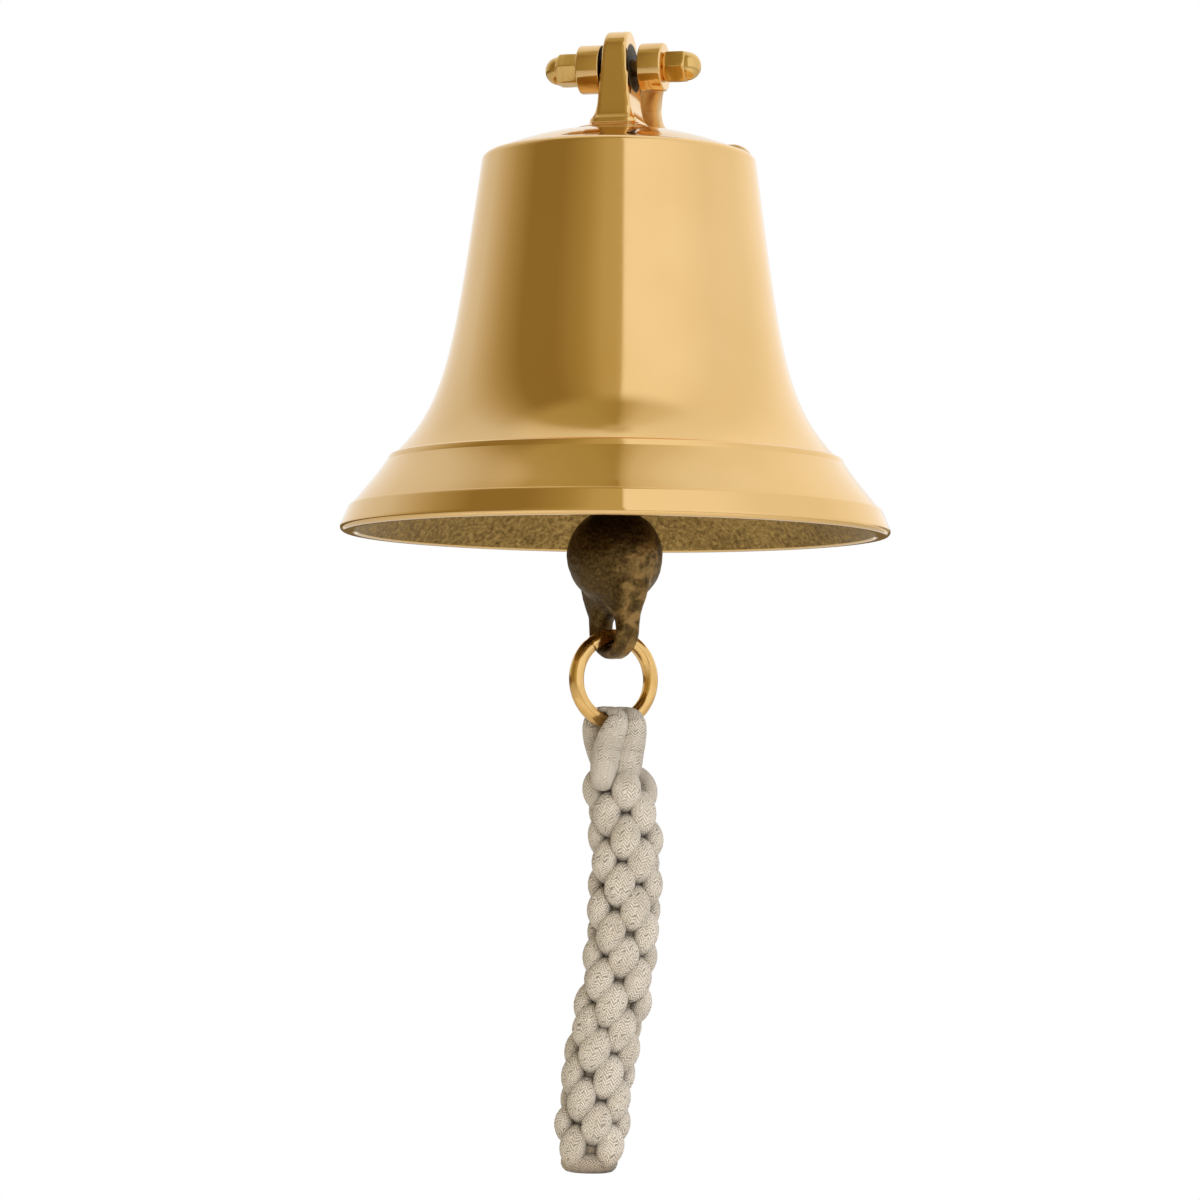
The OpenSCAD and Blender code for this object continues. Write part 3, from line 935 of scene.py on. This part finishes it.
def plate_mesh():
    """The wall plate: a slab with round corners and slightly eased edges."""
    corner, ease = 8.0, 0.9
    rows = []
    for inset, y in ((ease, 0), (0.3 * ease, 0.3 * ease), (0, ease),
                     (0, PLATE_T - ease), (0.3 * ease, PLATE_T - 0.3 * ease), (ease, PLATE_T)):
        ring = []
        for k, (sx, sz) in enumerate(((1, 1), (-1, 1), (-1, -1), (1, -1))):
            cx, cz = sx * (PLATE_W / 2 - corner), PLATE_Z + sz * (PLATE_H / 2 - corner)
            for x, z in arc(cx, cz, corner - inset, 90 * k, 90 * k + 90, 9):
                ring.append((x, REACH - y, z))
        rows.append(ring)
    return stack(rows)


def cylinder_y(name, r0, r1, x, y0, y1, z):
    """A cylinder or cone along Y, used for cutting."""
    rows = [[(x + r * math.cos(t), y, z + r * math.sin(t)) for t in circle(48)]
            for r, y in ((r0, y0), (r1, y1))]
    return recalc(make(name, *stack(rows), smooth=False))


PRONG = [(11.7, 1.0, 0), (11.7, 15, 0), (5.2, 21, 0.5), (3.6, 25.8, -10)]
ARM_END = 119.8
ARM = [(24.6, -4.0), (25.4, -8.0), (26.0, -12.5), (28.6, -16.9), (34, -18.8), (42, -ARM_DROP)]
ARM += [(y, -ARM_DROP) for y in (54, 66, 78, 90, 100, 108, 114, ARM_END)]


def build_arm():
    """The arm from behind the lug to the plate, growing wider and thicker at its root."""
    line = smooth_line(np.array([(FORK_X, y, BOLT_Z + z) for y, z in ARM]), 4)

    def swell(start):
        return np.clip((line[:, 1] - start) / (ARM_END - start), 0, 1) ** 2.2

    return tube("arm", line, (1, 0, 0), 8.0 + 0.8 * swell(101), 3.5 + 6.5 * swell(97), 36, 3.6)


def build_bracket():
    """Fork, arm and wall plate: one casting, in two finishes."""
    eyes, prongs = [], []
    for s in (-1, 1):
        a, b = sorted((s * EYE_IN, s * EYE_OUT))
        eyes.append(recalc(make("eye", *turned_x(rounded_disc(EYE_R, a, b)))))
    # the two prongs sweep back from the eyes and meet behind the lug
    for s in (-1, 1):
        line = bezier([(s * x, y, BOLT_Z + z) for x, y, z in PRONG], 26) + [FORK_X, 0, 0]
        wide, thick = np.linspace(4.3, 4.6, 27), np.linspace(5.4, 4.0, 27)
        prongs.append(tube("prong", line, (1, 0, 0), wide, thick, 28, 3.2))
    arm = build_arm()
    plate = recalc(make("plate", *plate_mesh()))
    web = weld(join("bracket_web", prongs + [arm, plate]), 0.62, 6)
    for x in (-SCREW_DX / 2, SCREW_DX / 2):
        for z in (-SCREW_DZ / 2, SCREW_DZ / 2):
            cut(web, cylinder_y("hole", SCREW_R, SCREW_R, x, REACH - 9, REACH + 2, PLATE_Z + z))
            cut(web, cylinder_y("sink", SCREW_HEAD_R, SCREW_R, x, REACH - 6.3, REACH - 3.6, PLATE_Z + z))
    web.data.shade_smooth()
    web.data.materials.append(MAT_ARM)
    for eye in eyes:
        eye.data.materials.append(MAT_FORK)
    bracket = join("bracket_casting", [web] + eyes)
    smooth_by_angle(bracket, 40)
    finish_piece(bracket, None, "bracket", ("wall_bracket",))


build_bracket()


# ---------------------------------------------------------------- bolt and acorn nuts
def build_stud():
    """The stud, with threads on the two ends that the nuts hold."""
    r, pitch, depth, thread_from = 3.175, 1.27, 0.55, 13.0
    end_r, rim_r, bevel, start = r - 0.8, r - 0.1, 0.7, 0.9
    half = (bolt_high.x - bolt_low.x) / 2 / MM
    profile = [(0, -half), (end_r, -half), (rim_r, -half + bevel)]
    x = -half + start
    while x < half - start:
        threaded = abs(x) > thread_from
        profile.append((r if not threaded or int((x + half) / (pitch / 2)) % 2 else r - depth, x))
        x += pitch / 2 if threaded else 2.0
    profile += [(rim_r, half - bevel), (end_r, half), (0, half)]
    stud = recalc(make("hanger_stud", *turned_x(profile, 48)))
    finish_piece(stud, MAT_STUD, "bracket", ("hanger_bolt",))


NUT_SEGMENTS = 192
NUT_FACE_R, NUT_APOTHEM, NUT_CORNER_R, NUT_CHAMFER = 4.4, 5.55, 6.34, 1.25
HEX_LEN, DOME_R = 8.6, 5.25
NUT_TURN = 7
NUT_STEPS = (0.0, 0.08, 0.2, 0.4, 0.6, 0.8, 1.0, 1.2, 3, 5, 7.4, 7.6, 7.8, 8.0, 8.2, 8.4, 8.52, HEX_LEN)


def nut_ring(x, flats_turn):
    """Radii round the chamfered hexagon at a distance from its inner face."""
    phi = circle(NUT_SEGMENTS) - flats_turn
    near = (phi + np.pi / 6) % (np.pi / 3) - np.pi / 6
    hexagon = NUT_APOTHEM / np.cos(near)
    edge = min(x, HEX_LEN - x)
    if edge >= NUT_CHAMFER:
        return np.minimum(hexagon, NUT_CORNER_R)
    cone, soft = NUT_APOTHEM - 0.25 + edge * 1.5, 14.0
    return (hexagon ** -soft + cone ** -soft) ** (-1 / soft)


def build_nut(name, s, node):
    """The acorn nut outside the eye on side s: a chamfered hexagon with a dome."""
    turn = math.radians(s * NUT_TURN) + math.pi / 6
    rings = [(0.0, np.full(NUT_SEGMENTS, NUT_FACE_R))]
    rings += [(x, nut_ring(x, turn)) for x in NUT_STEPS]
    rings.append((HEX_LEN, np.full(NUT_SEGMENTS, DOME_R + 0.15)))
    for t in np.radians(np.linspace(0, 88, 18)):
        x = HEX_LEN - 0.25 + DOME_R * math.sin(t) + 0.02
        rings.append((x, np.full(NUT_SEGMENTS, DOME_R * math.cos(t))))
    rows = [[(FORK_X + s * (EYE_OUT + x), r * math.cos(t), BOLT_Z + r * math.sin(t))
             for r, t in zip(radii, circle(NUT_SEGMENTS))] for x, radii in rings]
    nut = recalc(make(name, *stack(rows)))
    smooth_by_angle(nut, 32)
    finish_piece(nut, MAT_NUT, "bracket", (node,))


build_stud()
build_nut("acorn_left", -1, "left_acorn_nut")
build_nut("acorn_right", 1, "right_acorn_nut")


# ---------------------------------------------------------------- staple, clapper and ring
def build_staple():
    """The steel loop cast into the crown."""
    half, r, bend = 9.0, 3.2, 4
    line = [(-half, 0, CEILING + 1.5)]
    line += [(-half, 0, z) for z in np.linspace(CEILING, STAPLE_Z + bend, 6)]
    line += [(-half + bend - bend * math.cos(t), 0, STAPLE_Z + bend - bend * math.sin(t))
             for t in np.linspace(0.2, math.pi / 2, 7)]
    line += [(x, 0, STAPLE_Z) for x in np.linspace(-half + bend + 1, 0, 4)]
    line += [(-x, 0, z) for x, _, z in reversed(line[:-1])]
    staple = recalc(tube("crown_staple", line, (0, 1, 0), r, r, 28))
    finish_piece(staple, MAT_STAPLE, "bell", ("clapper_staple",))


BALL_R, BALL_Z = 17.75, -7.9
TAIL_HALF_W, TAIL_HALF_T, TAIL_THINNED = 12.8, 6.4, 1.3
SHANK_EYE_R, SHANK_ROD = 7.5, 3.0
HOLE_Z, HOLE_R, HOLE_ROUND = -35.7, 5.7, 4.5
CLAPPER_LUMPS = ((160.0, 0.00030), (420.0, 0.00013))


def tail_mesh():
    """The flat tail under the ball: a rounded slab, narrowing to a blunt point."""
    c, s = math.cos(RING_TURN), math.sin(RING_TURN)
    zs = np.concatenate([np.linspace(-12, -35, 14), np.linspace(-36, -45.9, 16)])
    rows = []
    for z in zs:
        f = np.clip((-z - 33.5) / 12.5, 0, 1)
        shoulder = 0.22 * np.clip((z + 32) / 12, 0, 1) ** 1.5
        thinned = np.clip((-z - 24) / 8, 0, 1)
        half_w = TAIL_HALF_W * (1 + shoulder) * max(1 - f ** 2.1, 0.002) ** 0.58
        half_t = (TAIL_HALF_T - TAIL_THINNED * thinned) * (1 + shoulder) * (1 - 0.35 * f ** 3)
        ring = []
        for t in circle(48):
            cc, ss = math.cos(t), math.sin(t)
            reach = (abs(cc / half_t) ** 5 + abs(ss / half_w) ** 5) ** -0.2
            a, b = cc * reach, ss * reach
            ring.append((a * c - b * s, a * s + b * c, float(z)))
        rows.append(ring)
    return stack(rows)


def shank_eye():
    """The round eye at the shank's top, in the plane of the swing."""
    eye_z, verts = STAPLE_Z - 1.0, []
    for a in np.linspace(0, 2 * math.pi, 49)[:-1]:
        for b in circle(20):
            q = SHANK_EYE_R + SHANK_ROD * math.cos(b)
            verts.append((SHANK_ROD * math.sin(b), q * math.cos(a), eye_z + q * math.sin(a)))
    return recalc(make("shank_eye", verts, grid_faces(48, 20, wrap_rows=True)))


def tail_hole():
    """A cutter for the tail's cross hole, with worn, rounded ends."""
    flare = [(HOLE_ROUND * math.sin(t), HOLE_ROUND * (1 - math.cos(t)))
             for t in np.radians(np.linspace(0, 84, 12))]
    flare.append((20.0, HOLE_ROUND + 0.4))
    profile = [(0, -20)] + [(HOLE_R + w, -d) for d, w in flare[::-1]]
    profile += [(HOLE_R + w, d) for d, w in flare[1:]] + [(0, 20)]
    verts, faces = lathe(profile, 48)
    c, s = math.cos(RING_TURN), math.sin(RING_TURN)
    verts = [(z * c - x * s, z * s + x * c, HOLE_Z + y) for x, y, z in verts]
    return recalc(make("hole", verts, faces, smooth=False))


def build_clapper():
    """Ball, tail, shank and its eye: one casting with the tail's cross hole."""
    ball = recalc(make("ball", *lathe([(BALL_R * math.sin(t), BALL_Z - BALL_R * math.cos(t))
                                       for t in np.linspace(0, math.pi, 40)], 72)))
    tail = recalc(make("tail", *tail_mesh()))
    z = np.linspace(STAPLE_Z - 1.0 - SHANK_EYE_R, BALL_Z + 10, 40)
    thick = np.linspace(3.6, 5.2, 40)
    shank = recalc(tube("shank", [(0, 0, q) for q in z], (1, 0, 0), thick, thick, 28))
    body = weld(join("clapper_body", [ball, tail, shank, shank_eye()]), 0.5, 5)
    cut(body, tail_hole())
    roughen(body, CLAPPER_LUMPS)
    body.data.shade_smooth()
    finish_piece(body, MAT_CLAPPER, "clapper", ("clapper",))


def build_ring():
    """The pull ring: a bent brass rod with its ends butted and brazed."""
    around, sides = 220, 36
    seam_at, seam_wide = math.radians(128), 0.035
    verts = []
    for a in circle(around):
        seam = math.exp(-((((a - seam_at + math.pi) % (2 * math.pi)) - math.pi) / seam_wide) ** 2)
        rod = ROD_R * (1 - 0.05 * seam) + 0.02 * math.sin(5 * a)
        for b in circle(sides):
            q = RING_R + rod * math.cos(b)
            along, up, off = q * math.cos(a), q * math.sin(a), rod * math.sin(b)
            verts.append(tuple(ring_dir * along + ring_out * off + UP * (RING_Z + up)))
    ring = recalc(make("pull_ring_rod", verts, grid_faces(around, sides, wrap_rows=True)))
    finish_piece(ring, MAT_RING, "ring", ("pull_ring",))


build_staple()
build_clapper()
build_ring()


# ---------------------------------------------------------------- floor, surroundings and lights
FLOOR_SIZE, FLOOR_DROP = 7, 0.62


def add_floor():
    bpy.ops.mesh.primitive_plane_add(size=FLOOR_SIZE, location=(0, AXIS_Y, MOUTH_Z - FLOOR_DROP))
    floor = bpy.context.object
    floor.name = "floor"
    mat, _, shader = material("pale_floor")
    shader.inputs["Base Color"].default_value = (0.82, 0.81, 0.79, 1)
    shader.inputs["Roughness"].default_value = 0.8
    floor.data.materials.append(mat)


def around_room(n, azimuth, stops):
    """A colour by azimuth in degrees, from (azimuth, colour) stops."""
    return n.ramp(n.plus(n.math("DIVIDE", azimuth, 360.0), 0.5), [((a + 180) / 360, c) for a, c in stops])


def add_world():
    """A studio seen by direction: a dark room at the front left, a white softbox at the front right."""
    world = bpy.data.worlds.new("studio")
    world.use_nodes = True
    scene.world = world
    tree = world.node_tree
    tree.nodes.clear()
    n = Nodes(tree)
    direction = n.add("ShaderNodeTexCoord").outputs["Generated"]
    d = n.split(direction)
    azimuth = n.times(n.math("ARCTAN2", d[0], n.times(d[1], -1.0)), 180 / math.pi)
    elevation = n.times(n.math("ARCSINE", d[2]), 180 / math.pi)
    low = around_room(n, azimuth, [
        (-180, 1.0), (-150, 0.95), (-128, 0.80), (-108, 0.72), (-94, (0.60, 0.55, 0.45)),
        (-78, (0.44, 0.37, 0.20)), (-60, (0.30, 0.22, 0.08)), (-32, (0.30, 0.22, 0.08)),
        (-9, (0.42, 0.34, 0.14)), (4, (0.55, 0.47, 0.25)), (18.8, (0.58, 0.50, 0.27)),
        (19.8, (1.03, 1.03, 1.03)), (60, (1.02, 1.02, 1.02)), (90, (0.92, 0.91, 0.90)),
        (125, 0.95), (150, 1.05), (180, 1.1)])
    high = around_room(n, azimuth, [
        (-180, 0.95), (-130, 0.88), (-104, (0.80, 0.78, 0.72)), (-90, (0.70, 0.65, 0.54)),
        (-74, (0.48, 0.41, 0.21)), (-45, (0.46, 0.39, 0.18)), (-15, (0.45, 0.38, 0.17)),
        (19, (0.40, 0.32, 0.13)), (24, (0.54, 0.46, 0.26)), (46, (0.72, 0.67, 0.55)),
        (72, (0.80, 0.77, 0.68)), (98, 0.9), (180, 1.0)])
    colour = n.mix(n.smooth(elevation, 57, 68), low, high)
    colour = n.mix(n.smooth(elevation, 84, 89), colour, (0.62, 0.55, 0.40, 1))
    level = n.times(n.smooth(elevation, 7, 3), n.smooth(elevation, -9, -4))
    colour = n.mix(n.times(level, n.smooth(azimuth, -55, -80)), colour, (0.19, 0.125, 0.05, 1))
    colour = n.mix(n.times(level, n.smooth(azimuth, 140, 165)), colour, (0.42, 0.35, 0.24, 1))
    colour = n.mix(n.smooth(elevation, -6, -25), colour, (0.60, 0.57, 0.52, 1))
    seen = n.add("ShaderNodeLightPath").outputs["Is Camera Ray"]
    colour = n.mix(seen, colour, (1, 1, 1, 1))
    out = n.add("ShaderNodeOutputWorld")
    back = n.add("ShaderNodeBackground", Color=colour, Strength=1.0)
    tree.links.new(back.outputs[0], out.inputs[0])


def add_light(name, place, target, size, power):
    data = bpy.data.lights.new(name, "AREA")
    data.shape = "RECTANGLE"
    data.size, data.size_y = size
    data.energy = power
    light = bpy.data.objects.new(name, data)
    light.location = place
    light.rotation_euler = (Vector(target) - Vector(place)).to_track_quat("-Z", "Y").to_euler()
    light.visible_camera = False
    light.visible_glossy = False
    scene.collection.objects.link(light)


middle = Vector((0, AXIS_Y, MOUTH_Z))
add_floor()
add_world()
add_light("key", middle + Vector((1.1, -1.2, 0.5)), middle, (0.9, 0.9), 14)
add_light("under", middle + Vector((-0.5, -0.7, -0.55)), middle, (0.8, 0.6), 4)
